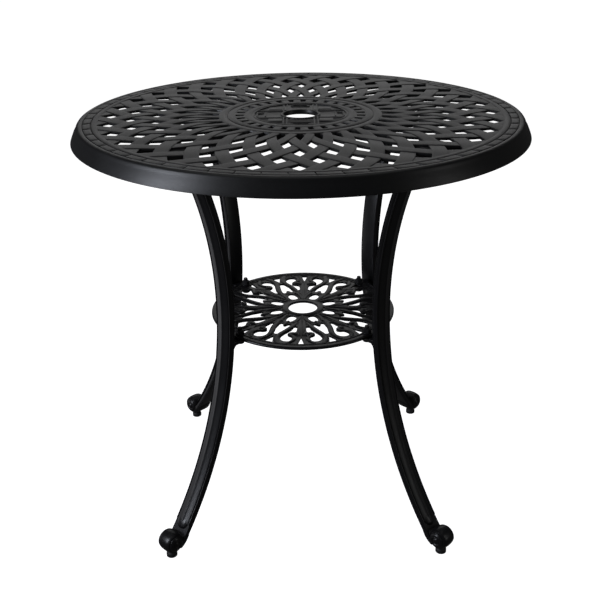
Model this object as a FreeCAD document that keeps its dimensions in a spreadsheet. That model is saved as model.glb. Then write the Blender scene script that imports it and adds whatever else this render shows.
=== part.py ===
import FreeCAD, Part
import math
import os
import sys

import Sketcher

# A round patio table with an umbrella hole: a cast top woven as a lattice of curved straps,
# four cast legs bowed inwards on the diagonals, a small scrollwork shelf bolted to them, and
# a levelling glide screwed into each scroll foot.
# Lengths are in millimetres and angles in degrees. The origin is on the floor, on the axis of
# the umbrella hole, with +Z up and the legs at 45 degrees between the axes.

DRIVING_SIZES = {
    # Table top
    "table_height": 724.3,
    "table_radius": 380.0,
    "plate_thickness": 5.0,
    "rim_flat_radius": 364.0,
    "rim_break_radius": 369.3,
    "rim_break_drop": 2.2,
    "rim_shoulder_radius": 371.5,
    "rim_shoulder_drop": 7.0,
    "skirt_depth": 26.7,
    "skirt_wall": 5.0,
    "groove_width": 1.8,
    "groove_depth": 1.0,
    "brick_outer_radius": 359.0,
    "brick_inner_radius": 345.5,
    # Woven lattice of straps, each strap a circular arc seen from above
    "strap_count": 32,
    "strap_arc_radius": 222.9,
    "strap_arc_centre": 234.15,
    "first_hole_radius": 317.6,
    "lattice_turn": -0.75,
    # Hub of the top
    "hub_radius": 136.5,
    "slot_count": 30,
    "slot_turn": 3.0,
    "slot_outer_radius": 109.7,
    "slot_inner_radius": 94.6,
    "slot_width": 9.8,
    "medallion_radius": 76.0,
    "medallion_depth": 1.5,
    "medallion_bar_offset": 25.5,
    "medallion_bar_width": 3.0,
    "medallion_bar_length": 88.0,
    "medallion_square": 22.0,
    "medallion_square_offset": 41.0,
    "window_length": 26.0,
    "window_width": 10.0,
    "window_radius": 70.0,
    "window_depth": 1.4,
    "umbrella_radius": 28.7,
    "collar_wall": 8.0,
    "collar_depth": 8.0,
    # Bosses under the top that take the legs
    "boss_inner_radius": 246.0,
    "boss_outer_radius": 300.0,
    "boss_width": 52.0,
    "boss_drop": 11.0,
    "boss_hole_depth": 12.5,
    # Legs: two tangent arcs, vertical at the waist
    "leg_width": 34.5,
    "leg_depth": 16.3,
    "leg_core_width": 31.5,
    "leg_flange": 3.6,
    "leg_rib_width": 27.0,
    "leg_rib_height": 2.0,
    "waist_radius": 186.0,
    "waist_height": 426.7,
    "upper_arc_radius": 614.1,
    "lower_arc_radius": 653.9,
    "rib_end_height": 62.0,
    "plate_of_leg_thickness": 6.0,
    "leg_seat_width": 50.0,
    "leg_web_thickness": 6.0,
    "leg_web_height": 34.0,
    "top_bolt_radius": 278.0,
    "top_bolt_spread": 34.0,
    # Scroll foot
    "foot_radius": 334.3,
    "foot_height": 31.0,
    "scroll_radius": 19.0,
    "scroll_width": 36.0,
    "scroll_step": 1.6,
    "scroll_eye_radius": 11.0,
    "heel_radius": 55.0,
    "heel_end_angle": 30.0,
    # Shelf
    "shelf_height": 368.2,
    "shelf_radius": 166.0,
    "shelf_thickness": 4.5,
    "shelf_rim_width": 16.4,
    "shelf_rim_rise": 1.0,
    "shelf_hole_radius": 26.5,
    "shelf_hub_width": 8.5,
    "shelf_turn": -1.9,
    "palmette_count": 8,
    # Lug of the leg under the shelf
    "lug_width": 22.0,
    "lug_thickness": 7.0,
    "lug_web_drop": 58.0,
    "lug_web_thickness": 7.0,
    "shelf_bolt_radius": 154.5,
    # Levelling glides
    "glide_radius": 9.5,
    "glide_height": 10.0,
    "glide_gap": 2.0,
    "stud_radius": 4.0,
    "stud_length": 22.0,
    "stud_travel_up": 1.5,
    "stud_clearance": 0.05,
    # Fasteners, metric size eight
    "bolt_radius": 4.0,
    "bolt_clearance": 0.3,
    "bolt_head_across_flats": 13.0,
    "bolt_head_height": 5.3,
    "bolt_thread_gap": 0.02,
    "washer_radius": 8.0,
    "washer_thickness": 1.6,
    "spring_washer_radius": 6.8,
    "spring_washer_thickness": 2.0,
    "nut_height": 6.5,
    "shelf_bolt_tail": 5.0,
}

LEG_NAMES = {
    "front_left": 225.0,
    "front_right": 315.0,
    "rear_right": 45.0,
    "rear_left": 135.0,
}

document = FreeCAD.newDocument("UmbrellaTable")
sheet = document.addObject("Spreadsheet::Sheet", "Sizes")
for row, (alias, value) in enumerate(DRIVING_SIZES.items(), start=1):
    sheet.set(f"A{row}", alias)
    sheet.set(f"B{row}", str(value))
    sheet.setAlias(f"B{row}", alias)
document.recompute()


class Size:
    # A number together with the spreadsheet expression that gives it, so that a sketch is
    # drawn near its final shape and stays bound to the driving sizes.
    def __init__(self, value, text):
        self.value = float(value)
        self.text = text

    def join(self, other, sign, value):
        return Size(value, f"({self.text} {sign} {as_size(other).text})")

    def __add__(self, other):
        return self.join(other, "+", self.value + as_size(other).value)

    def __sub__(self, other):
        return self.join(other, "-", self.value - as_size(other).value)

    def __mul__(self, other):
        return self.join(other, "*", self.value * as_size(other).value)

    def __truediv__(self, other):
        return self.join(other, "/", self.value / as_size(other).value)

    def __radd__(self, other):
        return as_size(other) + self

    def __rsub__(self, other):
        return as_size(other) - self

    def __rmul__(self, other):
        return as_size(other) * self

    def __rtruediv__(self, other):
        return as_size(other) / self

    def __neg__(self):
        return 0 - self


def as_size(value):
    if isinstance(value, Size):
        return value
    return Size(value, f"({float(value):.6f})")


def size(alias):
    return Size(sheet.get(alias), f"Sizes.{alias}")


def root(value):
    return Size(math.sqrt(value.value), f"sqrt({value.text})")


def cosine(angle):
    angle = as_size(angle)
    return Size(math.cos(math.radians(angle.value)), f"cos({angle.text} * 1 deg)")


def sine(angle):
    angle = as_size(angle)
    return Size(math.sin(math.radians(angle.value)), f"sin({angle.text} * 1 deg)")


def arccosine(value):
    return Size(math.degrees(math.acos(value.value)), f"(acos({value.text}) / 1 deg)")


def polar(radius, angle):
    return radius * cosine(angle), radius * sine(angle)


def new_body(name):
    body = document.addObject("PartDesign::Body", name)
    body.Label = name
    return body


def origin_item(body, role):
    return next(item for item in body.Origin.OriginFeatures if item.Role == role)


def new_sketch(body, name, role, lift=None):
    sketch = body.newObject("Sketcher::SketchObject", name)
    sketch.AttachmentSupport = [(origin_item(body, role), "")]
    sketch.MapMode = "FlatFace"
    if lift is not None:
        sketch.setExpression("AttachmentOffset.Base.z", as_size(lift).text)
    return sketch


def bind(sketch, constraint, expression):
    index = sketch.addConstraint(constraint)
    sketch.setExpression(f"Constraints[{index}]", expression)


def arc_between(start, end, radius, turn):
    # The arc of the given radius from start to end, anticlockwise for a turn of +1.
    chord = end - start
    half = chord.Length / 2
    height = math.sqrt(max(radius * radius - half * half, 0.0))
    normal = FreeCAD.Vector(-chord.y, chord.x, 0).normalize()
    centre = (start + end) / 2 + normal * height * turn
    first, last = (start, end) if turn > 0 else (end, start)
    circle = Part.Circle(centre, FreeCAD.Vector(0, 0, 1), radius)
    begin = math.atan2(first.y - centre.y, first.x - centre.x)
    finish = math.atan2(last.y - centre.y, last.x - centre.x)
    if finish <= begin:
        finish += 2 * math.pi
    return Part.ArcOfCircle(circle, begin, finish)


def draw_outline(sketch, corners):
    # Each corner is (x, y), or (x, y, radius, turn) where the side to the next is an arc.
    points = []
    for corner in corners:
        points.append(FreeCAD.Vector(as_size(corner[0]).value, as_size(corner[1]).value, 0))
    ends = []
    for number, corner in enumerate(corners):
        start = points[number]
        end = points[(number + 1) % len(corners)]
        if len(corner) == 2:
            side = sketch.addGeometry(Part.LineSegment(start, end), False)
            ends.append((side, 1, 2))
        else:
            radius = as_size(corner[2])
            side = sketch.addGeometry(arc_between(start, end, radius.value, corner[3]), False)
            ends.append((side, 1, 2) if corner[3] > 0 else (side, 2, 1))
    for number, corner in enumerate(corners):
        side, first, _ = ends[number]
        before, _, last = ends[number - 1]
        sketch.addConstraint(Sketcher.Constraint("Coincident", before, last, side, first))
        for kind, place in (("DistanceX", corner[0]), ("DistanceY", corner[1])):
            place = as_size(place)
            rule = Sketcher.Constraint(kind, -1, 1, side, first, place.value)
            bind(sketch, rule, place.text)
        if len(corner) == 4:
            radius = as_size(corner[2])
            bind(sketch, Sketcher.Constraint("Radius", side, radius.value), radius.text)


def draw_circle(sketch, x, y, radius):
    x = as_size(x)
    y = as_size(y)
    centre = FreeCAD.Vector(x.value, y.value, 0)
    circle = sketch.addGeometry(Part.Circle(centre, FreeCAD.Vector(0, 0, 1), radius.value), False)
    bind(sketch, Sketcher.Constraint("Radius", circle, radius.value), radius.text)
    bind(sketch, Sketcher.Constraint("DistanceX", -1, 1, circle, 3, x.value), x.text)
    bind(sketch, Sketcher.Constraint("DistanceY", -1, 1, circle, 3, y.value), y.text)


def draw_box(sketch, left, right, low, high):
    draw_outline(sketch, [(left, low), (right, low), (right, high), (left, high)])


def pad(body, sketch, name, length, symmetric=False, reverse=False):
    feature = body.newObject("PartDesign::Pad", name)
    feature.Refine = False
    feature.Profile = sketch
    feature.setExpression("Length", as_size(length).text)
    feature.Reversed = reverse
    if symmetric:
        feature.SideType = "Symmetric"
    return feature


def pocket(body, sketch, name, depth, reverse=False):
    feature = body.newObject("PartDesign::Pocket", name)
    feature.Refine = False
    feature.Profile = sketch
    feature.setExpression("Length", as_size(depth).text)
    feature.Reversed = reverse
    return feature


def turn_round(body, sketch, name, kind="PartDesign::Revolution"):
    feature = body.newObject(kind, name)
    feature.Refine = False
    feature.Profile = sketch
    feature.ReferenceAxis = (sketch, ["V_Axis"])
    feature.Angle = 360
    return feature


def repeat_round(body, features, name, count):
    pattern = body.newObject("PartDesign::PolarPattern", name)
    pattern.Refine = False
    pattern.Originals = features
    pattern.Axis = (origin_item(body, "Z_Axis"), [""])
    pattern.Angle = 360
    pattern.setExpression("Occurrences", as_size(count).text)
    body.Tip = pattern
    return pattern


# Sizes shared by several pieces
leg_seat_height = size("table_height") - size("plate_thickness") - size("boss_drop")
lug_top = size("shelf_height") - size("shelf_thickness")
lug_low = lug_top - size("lug_thickness")
glide_top = size("glide_height")
scroll_low = size("foot_height") - size("scroll_radius")
bolt_hole = size("bolt_radius") + size("bolt_clearance")
LEG_COUNT = 4
LEG_TURN = "45 * 1 deg"


# Table top

def strap_angle(radius):
    # Angle between a strap's arc centre and the point where the arc crosses this radius.
    centre = size("strap_arc_centre")
    arc = size("strap_arc_radius")
    return arccosine((radius * radius + centre * centre - arc * arc) / (2 * radius * centre))


def strap_radius(angle):
    # Radius where a strap's arc has turned by this angle from its centre.
    centre = size("strap_arc_centre")
    arc = size("strap_arc_radius")
    along = centre * cosine(angle)
    return along + root(along * along - centre * centre + arc * arc)


RINGS_OF_HOLES = 5
half_strap = 90 / size("strap_count")
first_strap_angle = strap_angle(size("first_hole_radius"))
hole_turn = 90 + size("lattice_turn")


def crossing_radius(steps):
    # Straps turn by two half straps from one ring of holes to the next.
    return strap_radius(first_strap_angle + 2 * steps * half_strap)


def lattice_hole(sketch, number):
    # One diamond between four straps; the innermost ring is cut off by the hub.
    middle = hole_turn if number % 2 == 0 else hole_turn + 2 * half_strap
    side = crossing_radius(number)
    top = polar(crossing_radius(number - 0.5), middle)
    left = polar(side, middle + half_strap)
    right = polar(side, middle - half_strap)
    if number < RINGS_OF_HOLES - 1:
        low = polar(crossing_radius(number + 0.5), middle)
        draw_outline(sketch, [top, left, low, right])
        return
    hub = size("hub_radius")
    spread = half_strap - (strap_angle(hub) - strap_angle(side))
    draw_outline(sketch, [top, left, polar(hub, middle + spread), polar(hub, middle - spread), right])


def make_table_top():
    body = new_body("table_top")
    top = size("table_height")
    hole = size("umbrella_radius")
    rim = size("table_radius")
    shoulder_x = size("rim_shoulder_radius")
    shoulder_z = top - size("rim_shoulder_drop")
    low = top - size("skirt_depth")
    wall = size("skirt_wall")
    plate_low = top - size("plate_thickness")
    collar = hole + size("collar_wall")
    profile = new_sketch(body, "top_profile", "XZ_Plane")
    draw_outline(profile, [
        (hole, top), (size("rim_flat_radius"), top),
        (size("rim_break_radius"), top - size("rim_break_drop")), (shoulder_x, shoulder_z),
        (rim, low), (rim - wall, low), (shoulder_x - wall, plate_low), (collar, plate_low),
        (collar, top - size("collar_depth")), (hole, top - size("collar_depth"))])
    turn_round(body, profile, "top_plate")

    grooves = new_sketch(body, "top_grooves", "XZ_Plane")
    half_groove = size("groove_width") / 2
    groove_low = top - size("groove_depth")
    for place in ("brick_outer_radius", "brick_inner_radius"):
        middle = size(place)
        draw_outline(grooves, [
            (middle - half_groove, top + 1), (middle, groove_low), (middle + half_groove, top + 1)])
    draw_box(grooves, hole + size("collar_wall"), size("medallion_radius"),
             top - size("medallion_depth"), top + 1)
    turn_round(body, grooves, "grooves", "PartDesign::Groove")

    boss = new_sketch(body, "leg_boss_outline", "XY_Plane", plate_low)
    draw_box(boss, size("boss_inner_radius"), size("boss_outer_radius"),
             -size("boss_width") / 2, size("boss_width") / 2)
    boss.setExpression("AttachmentOffset.Rotation.Angle", LEG_TURN)
    boss_pad = pad(body, boss, "leg_boss", size("boss_drop"), reverse=True)
    repeat_round(body, [boss_pad], "leg_bosses", LEG_COUNT)

    slot = new_sketch(body, "hub_slot_outline", "XY_Plane", top)
    half_slot = size("slot_width") / 2
    slot_end = root(size("slot_outer_radius") * size("slot_outer_radius") - half_slot * half_slot)
    draw_box(slot, size("slot_inner_radius"), slot_end, -half_slot, half_slot)
    slot.setExpression("AttachmentOffset.Rotation.Angle", "Sizes.slot_turn * 1 deg")
    slot_cut = pocket(body, slot, "hub_slot", size("plate_thickness"))
    repeat_round(body, [slot_cut], "hub_slots", size("slot_count"))

    floor = top - size("medallion_depth")
    frame = new_sketch(body, "medallion_relief", "XY_Plane", floor)
    half_bar = size("medallion_bar_width") / 2
    offset = size("medallion_bar_offset")
    reach = size("medallion_bar_length") / 2
    for start in (size("collar_wall") + hole - 1, -reach):
        end = reach if start.value > 0 else -(size("collar_wall") + hole - 1)
        draw_box(frame, start, end, offset - half_bar, offset + half_bar)
    corner = size("medallion_square_offset")
    half_square = size("medallion_square") / 2
    draw_box(frame, corner - half_square, corner + half_square,
             corner - half_square, corner + half_square)
    relief = pad(body, frame, "medallion_bar", size("medallion_depth"))
    repeat_round(body, [relief], "medallion_bars", LEG_COUNT)

    window = new_sketch(body, "medallion_window_outline", "XY_Plane", floor)
    half_length = size("window_length") / 2
    outer = size("window_radius")
    draw_box(window, outer - size("window_width"), outer, -half_length, half_length)
    window_cut = pocket(body, window, "medallion_window", size("window_depth"))
    repeat_round(body, [window_cut], "medallion_windows", LEG_COUNT)

    bolts = new_sketch(body, "boss_bolt_holes", "XY_Plane", leg_seat_height)
    for side in (-1, 1):
        spread = size("top_bolt_spread") * side / 2
        draw_circle(bolts, size("top_bolt_radius"), spread,
                    size("bolt_radius") + size("bolt_thread_gap"))
    bolts.setExpression("AttachmentOffset.Rotation.Angle", LEG_TURN)
    bolt_cut = pocket(body, bolts, "boss_bolt_hole", size("boss_hole_depth"), reverse=True)
    repeat_round(body, [bolt_cut], "boss_bolt_holes_round", LEG_COUNT)

    diamonds = new_sketch(body, "lattice_diamonds", "XY_Plane", top)
    for number in range(RINGS_OF_HOLES):
        lattice_hole(diamonds, number)
    cut = pocket(body, diamonds, "lattice_sector", size("plate_thickness"))
    repeat_round(body, [cut], "lattice_holes", size("strap_count"))
    return body


# Legs

def spine_radius(height, offset):
    # Distance from the table's axis at this height, offset outwards from the leg's middle.
    waist = size("waist_height")
    arc = size("upper_arc_radius") if height.value > waist.value else size("lower_arc_radius")
    rise = height - waist
    across = arc - offset
    return size("waist_radius") + arc - root(across * across - rise * rise)


def leg_band(body, name, inner, outer, width, low, high):
    # A strip of the leg between two offsets from its middle line.
    upper = size("upper_arc_radius")
    lower = size("lower_arc_radius")
    waist = size("waist_height")
    sketch = new_sketch(body, f"{name}_outline", "XZ_Plane")
    draw_outline(sketch, [
        (spine_radius(low, inner), low, lower - inner, -1),
        (size("waist_radius") + inner, waist, upper - inner, -1),
        (spine_radius(high, inner), high),
        (spine_radius(high, outer), high, upper - outer, 1),
        (size("waist_radius") + outer, waist, lower - outer, 1),
        (spine_radius(low, outer), low)])
    return pad(body, sketch, name, width, symmetric=True)


def make_leg(name, angle):
    body = new_body(f"leg_{name}")
    half = size("leg_depth") / 2
    face = half - size("leg_rib_height")
    flange = size("leg_flange")
    seat = leg_seat_height
    seat_low = seat - size("plate_of_leg_thickness")
    foot = size("foot_height")
    leg_band(body, "core", -half, face, size("leg_core_width"), foot, seat_low + 2)
    leg_band(body, "outer_flange", face - flange, face, size("leg_width"), foot, seat_low + 2)
    leg_band(body, "rib", face - 1, half, size("leg_rib_width"), size("rib_end_height"), seat_low)

    plate = new_sketch(body, "seat_outline", "XZ_Plane")
    draw_box(plate, size("boss_inner_radius"), size("boss_outer_radius"), seat_low, seat)
    pad(body, plate, "seat", size("leg_seat_width"), symmetric=True)

    web = new_sketch(body, "seat_web_outline", "XZ_Plane")
    web_low = seat_low - size("leg_web_height")
    draw_outline(web, [
        (spine_radius(seat_low, as_size(0)), seat_low + 1),
        (spine_radius(web_low, as_size(0)), web_low),
        (spine_radius(web_low, half), web_low, size("leg_web_height") * 1.2, -1),
        (size("boss_outer_radius") - 3, seat_low + 1)])
    pad(body, web, "seat_web", size("leg_web_thickness"), symmetric=True)

    bolt = new_sketch(body, "seat_bolt_holes", "XY_Plane", seat)
    for side in (-1, 1):
        spread = size("top_bolt_spread") * side / 2
        draw_circle(bolt, size("top_bolt_radius"), spread, bolt_hole)
    pocket(body, bolt, "seat_bolt_hole", size("plate_of_leg_thickness"))

    lug = new_sketch(body, "lug_outline", "XY_Plane", lug_top)
    half_lug = size("lug_width") / 2
    middle = size("shelf_bolt_radius")
    draw_outline(lug, [
        (spine_radius(lug_top, as_size(0)), -half_lug),
        (spine_radius(lug_top, as_size(0)), half_lug),
        (middle, half_lug, half_lug, 1), (middle - half_lug, as_size(0), half_lug, 1),
        (middle, -half_lug)])
    pad(body, lug, "lug", size("lug_thickness"), reverse=True)

    gusset = new_sketch(body, "lug_web_outline", "XZ_Plane")
    gusset_low = lug_low - size("lug_web_drop")
    gusset_tip = middle + size("washer_radius") + 1
    draw_outline(gusset, [
        (gusset_tip, lug_low + 1),
        (gusset_tip, lug_low - 2, size("lug_web_drop") * 1.3, -1),
        (spine_radius(gusset_low, -half), gusset_low),
        (spine_radius(gusset_low, as_size(0)), gusset_low),
        (spine_radius(lug_low, as_size(0)), lug_low + 1)])
    pad(body, gusset, "lug_web", size("lug_web_thickness"), symmetric=True)

    lug_hole = new_sketch(body, "lug_bolt_hole", "XY_Plane", lug_top)
    draw_circle(lug_hole, middle, 0, bolt_hole)
    pocket(body, lug_hole, "lug_hole", size("lug_thickness"))

    heel = new_sketch(body, "heel_outline", "XZ_Plane")
    reach = size("foot_radius")
    draw_outline(heel, [
        (spine_radius(foot, -half), foot, size("heel_radius"), 1),
        (reach - size("scroll_radius") * sine(size("heel_end_angle")),
         foot - size("scroll_radius") * cosine(size("heel_end_angle"))),
        (reach, foot)])
    pad(body, heel, "heel", size("leg_core_width"), symmetric=True)

    for number, (label, radius) in enumerate((
            ("scroll", "scroll_radius"), ("scroll_eye", "scroll_eye_radius"))):
        disc = new_sketch(body, f"{label}_outline", "XZ_Plane")
        draw_circle(disc, reach, foot, size(radius))
        width = size("scroll_width") + 2 * number * size("scroll_step")
        pad(body, disc, label, width, symmetric=True)

    socket = new_sketch(body, "glide_socket", "XY_Plane", scroll_low)
    draw_circle(socket, reach, 0, size("stud_radius") + size("stud_clearance"))
    depth = size("stud_length") - size("glide_gap") + size("stud_travel_up") + 1
    pocket(body, socket, "glide_thread", depth, reverse=True)
    body.Placement = FreeCAD.Placement(
        FreeCAD.Vector(0, 0, 0), FreeCAD.Rotation(FreeCAD.Vector(0, 0, 1), angle))
    return body


# Shelf

def shelf_corner(radius, angle, *side):
    # Polar corner of a shelf opening, measured from a palmette's middle line.
    return (*polar(as_size(radius), as_size(angle)), *side)


def make_shelf():
    body = new_body("shelf")
    top = size("shelf_height")
    low = lug_top
    hole = size("shelf_hole_radius")
    rim = size("shelf_radius")
    rim_inner = rim - size("shelf_rim_width")
    hub = hole + size("shelf_hub_width")
    rise = size("shelf_rim_rise")
    profile = new_sketch(body, "shelf_profile", "XZ_Plane")
    draw_outline(profile, [
        (hole, low), (rim, low), (rim, top), (rim_inner, top), (rim_inner, top - rise),
        (hub, top - rise), (hub, top), (hole, top)])
    turn_round(body, profile, "shelf_plate")

    half_turn = 180 / size("palmette_count")
    openings = new_sketch(body, "shelf_openings", "XY_Plane", top)
    gap = half_turn
    rim_edge = rim_inner - 2
    hub_edge = hub + 2.5
    draw_outline(openings, [
        shelf_corner(hub_edge, gap - 7), shelf_corner(45, gap - 11), shelf_corner(55, gap - 9.5),
        shelf_corner(66, gap - 3.2), shelf_corner(66, gap + 3.2), shelf_corner(55, gap + 9.5),
        shelf_corner(45, gap + 11), shelf_corner(hub_edge, gap + 7)])
    draw_outline(openings, [
        shelf_corner(74, gap - 6.0), shelf_corner(86, gap - 6.6), shelf_corner(102, gap - 4.6),
        shelf_corner(117, gap), shelf_corner(102, gap + 4.6), shelf_corner(86, gap + 6.6),
        shelf_corner(74, gap + 6.0), shelf_corner(82, gap)])
    draw_outline(openings, [
        shelf_corner(rim_edge, gap - 3.2), shelf_corner(rim_edge, gap + 3.2),
        shelf_corner(126, gap)])
    draw_outline(openings, [
        shelf_corner(rim_edge, -2.2), shelf_corner(rim_edge, 2.2), shelf_corner(123, 0)])
    for side in (-1, 1):
        draw_outline(openings, [
            shelf_corner(81, 7.6 * side), shelf_corner(92, 10.4 * side),
            shelf_corner(104, 13.3 * side), shelf_corner(116, 15.8 * side),
            shelf_corner(128, 16.2 * side), shelf_corner(136, 14.6 * side),
            shelf_corner(140, 11.4 * side), shelf_corner(137, 7.9 * side),
            shelf_corner(122, 7.6 * side), shelf_corner(118, 10.6 * side),
            shelf_corner(112, 12.2 * side), shelf_corner(107, 10.4 * side),
            shelf_corner(103, 6.0 * side), shelf_corner(94, 5.2 * side)])
    openings.setExpression("AttachmentOffset.Rotation.Angle", "Sizes.shelf_turn * 1 deg")
    cut = pocket(body, openings, "palmette_gaps", size("shelf_thickness"))
    repeat_round(body, [cut], "palmettes", size("palmette_count"))

    bolt = new_sketch(body, "shelf_bolt_holes", "XY_Plane", top)
    draw_circle(bolt, size("shelf_bolt_radius"), 0, bolt_hole)
    bolt.setExpression("AttachmentOffset.Rotation.Angle", LEG_TURN)
    bolt_cut = pocket(body, bolt, "shelf_bolt_hole", size("shelf_thickness"))
    repeat_round(body, [bolt_cut], "shelf_bolt_holes_round", LEG_COUNT)
    return body


# Glides

def make_glide(name, angle):
    place = FreeCAD.Placement(
        FreeCAD.Vector(size("foot_radius").value * math.cos(math.radians(angle)),
                       size("foot_radius").value * math.sin(math.radians(angle)), 0),
        FreeCAD.Rotation())
    pad_body = new_body(f"glide_pad_{name}")
    radius = size("glide_radius")
    disc = new_sketch(pad_body, "pad_outline", "XY_Plane")
    draw_circle(disc, 0, 0, radius)
    pad(pad_body, disc, "pad_disc", glide_top)
    stud_body = new_body(f"glide_stud_{name}")
    rod = new_sketch(stud_body, "stud_outline", "XY_Plane", glide_top)
    draw_circle(rod, 0, 0, size("stud_radius"))
    pad(stud_body, rod, "stud_rod", size("stud_length"))
    pad_body.Placement = place
    stud_body.Placement = place
    return pad_body, stud_body


# Fasteners

def make_hexagon(body, name, lift, height):
    sketch = new_sketch(body, f"{name}_outline", "XY_Plane", lift)
    corner = size("bolt_head_across_flats") / math.sqrt(3)
    draw_outline(sketch, [polar(corner, 60 * number) for number in range(6)])
    return pad(body, sketch, name, height)


def make_bolt(name, length):
    # The head's seat lies at the origin, with the shank going up.
    body = new_body(name)
    make_hexagon(body, "head", -size("bolt_head_height"), size("bolt_head_height"))
    shank = new_sketch(body, "shank_outline", "XY_Plane")
    draw_circle(shank, 0, 0, size("bolt_radius"))
    pad(body, shank, "shank", length)
    return body


# Washers are drawn with this many flat sides, which keeps their facets few.
RING_SIDES = 14


def make_ring(name, outer, inner, thickness):
    body = new_body(name)
    sketch = new_sketch(body, "ring_outline", "XY_Plane")
    for radius in (outer, inner):
        draw_outline(sketch, [polar(radius, 360 * side / RING_SIDES) for side in range(RING_SIDES)])
    pad(body, sketch, "ring", thickness)
    return body


def make_nut(name):
    body = new_body(name)
    make_hexagon(body, "nut", as_size(0), size("nut_height"))
    bore = new_sketch(body, "bore_outline", "XY_Plane")
    draw_circle(bore, 0, 0, size("bolt_radius") + size("bolt_thread_gap"))
    pocket(body, bore, "bore", size("nut_height"), reverse=True)
    return body


def place_set(name, pattern, radius, spread, height):
    # Identical fasteners, one solid each, at the four legs.
    shapes = []
    for angle in LEG_NAMES.values():
        for side in ((0,) if spread is None else (-1, 1)):
            across = 0.0 if spread is None else spread.value * side / 2
            turn = FreeCAD.Rotation(FreeCAD.Vector(0, 0, 1), angle)
            point = turn.multVec(FreeCAD.Vector(radius.value, across, height.value))
            shape = pattern.Shape.copy()
            shape.Placement = FreeCAD.Placement(point, turn)
            shapes.append(shape)
    group = document.addObject("Part::Feature", name)
    group.Label = name
    group.Shape = Part.makeCompound(shapes)
    return group


top_body = make_table_top()
legs = [make_leg(name, angle) for name, angle in LEG_NAMES.items()]
shelf_body = make_shelf()
glides = [piece for name, angle in LEG_NAMES.items() for piece in make_glide(name, angle)]

washer = size("washer_thickness")
spring = size("spring_washer_thickness")
seat_low = leg_seat_height - size("plate_of_leg_thickness")
ring_bore = bolt_hole
top_bolt_length = washer + spring + size("plate_of_leg_thickness") + size("boss_hole_depth") - 1.5
shelf_bolt_length = (size("shelf_thickness") + size("lug_thickness") + washer
                     + size("nut_height") + size("shelf_bolt_tail"))
top_bolt = make_bolt("top_bolt_pattern", top_bolt_length)
shelf_bolt = make_bolt("shelf_bolt_pattern", shelf_bolt_length)
flat_washer = make_ring("washer_pattern", size("washer_radius"), ring_bore, washer)
spring_washer = make_ring("spring_washer_pattern", size("spring_washer_radius"), ring_bore, spring)
nut = make_nut("nut_pattern")
document.recompute()

top_place = (size("top_bolt_radius"), size("top_bolt_spread"))
shelf_place = (size("shelf_bolt_radius"), None)
fasteners = [
    place_set("top_bolts", top_bolt, *top_place, seat_low - washer - spring),
    place_set("top_washers", flat_washer, *top_place, seat_low - washer),
    place_set("top_spring_washers", spring_washer, *top_place, seat_low - washer - spring),
    place_set("shelf_bolts", shelf_bolt, *shelf_place, lug_low),
    place_set("shelf_washers", flat_washer, *shelf_place, size("shelf_height")),
    place_set("shelf_nuts", nut, *shelf_place, size("shelf_height") + washer),
]
document.recompute()

pieces = [top_body, *legs, shelf_body, *glides, *fasteners]
faults = []
for item in document.Objects:
    if "Invalid" in item.State or "Error" in item.State:
        faults.append(f"{item.Name}: {item.State}")
for piece in pieces:
    if piece.Shape.isNull() or not piece.Shape.isValid():
        faults.append(f"{piece.Label}: no valid solid")
if faults:
    print("\n".join(faults))
    sys.exit(1)

os.makedirs("parts", exist_ok=True)
for piece in pieces:
    piece.Shape.exportStep(f"parts/{piece.Label}.step")
    print(f"{piece.Label}: {len(piece.Shape.Solids)} solids, {piece.Shape.Volume / 1000:.2f} cm3")
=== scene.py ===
import math

import bpy
from mathutils import Matrix, Vector


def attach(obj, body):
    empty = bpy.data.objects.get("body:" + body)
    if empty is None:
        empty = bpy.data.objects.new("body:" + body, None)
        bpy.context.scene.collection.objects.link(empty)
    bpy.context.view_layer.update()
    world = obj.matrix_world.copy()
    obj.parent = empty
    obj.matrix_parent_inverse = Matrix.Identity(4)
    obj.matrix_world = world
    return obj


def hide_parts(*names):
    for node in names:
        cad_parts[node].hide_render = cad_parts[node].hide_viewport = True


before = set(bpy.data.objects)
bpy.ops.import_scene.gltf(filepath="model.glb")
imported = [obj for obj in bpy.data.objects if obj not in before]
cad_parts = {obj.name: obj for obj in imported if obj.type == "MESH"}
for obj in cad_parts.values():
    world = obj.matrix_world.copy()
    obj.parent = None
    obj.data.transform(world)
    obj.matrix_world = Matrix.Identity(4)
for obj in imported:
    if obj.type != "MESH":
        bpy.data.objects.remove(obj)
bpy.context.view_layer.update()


# Sizes of the pieces are in millimetres and angles in degrees. The camera, the lights and the
# distances of bump are in metres, as Blender has them.
mm = 0.001
mergeGap = 0.005 * mm  # vertices closer than this become one
latheGap = 0.01 * mm
sharpAngle = math.radians(35)  # edges that a bevel rounds
legAngles = {"front_left": 225, "front_right": 315, "rear_right": 45, "rear_left": 135}


# Editing helpers

def deselectAll():
    if bpy.context.object and bpy.context.object.mode != "OBJECT":
        bpy.ops.object.mode_set(mode="OBJECT")
    bpy.ops.object.select_all(action="DESELECT")


def pickOnly(piece):
    deselectAll()
    bpy.context.view_layer.objects.active = piece
    piece.select_set(True)


def selectAll():
    bpy.ops.mesh.select_all(action="SELECT")


def startEdit(piece):
    pickOnly(piece)
    bpy.ops.object.mode_set(mode="EDIT")
    bpy.ops.mesh.select_mode(type="VERT")
    bpy.ops.mesh.select_all(action="DESELECT")


def endEdit(merge=None):
    if merge:
        selectAll()
        bpy.ops.mesh.remove_doubles(threshold=merge)
        bpy.ops.mesh.normals_make_consistent(inside=False)
    bpy.ops.object.mode_set(mode="OBJECT")


def addModifier(piece, kind, **settings):
    pickOnly(piece)
    modifier = piece.modifiers.new(kind.title(), kind)
    for name, value in settings.items():
        setattr(modifier, name, value)
    bpy.ops.object.modifier_apply(modifier=modifier.name)
    return piece


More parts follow.
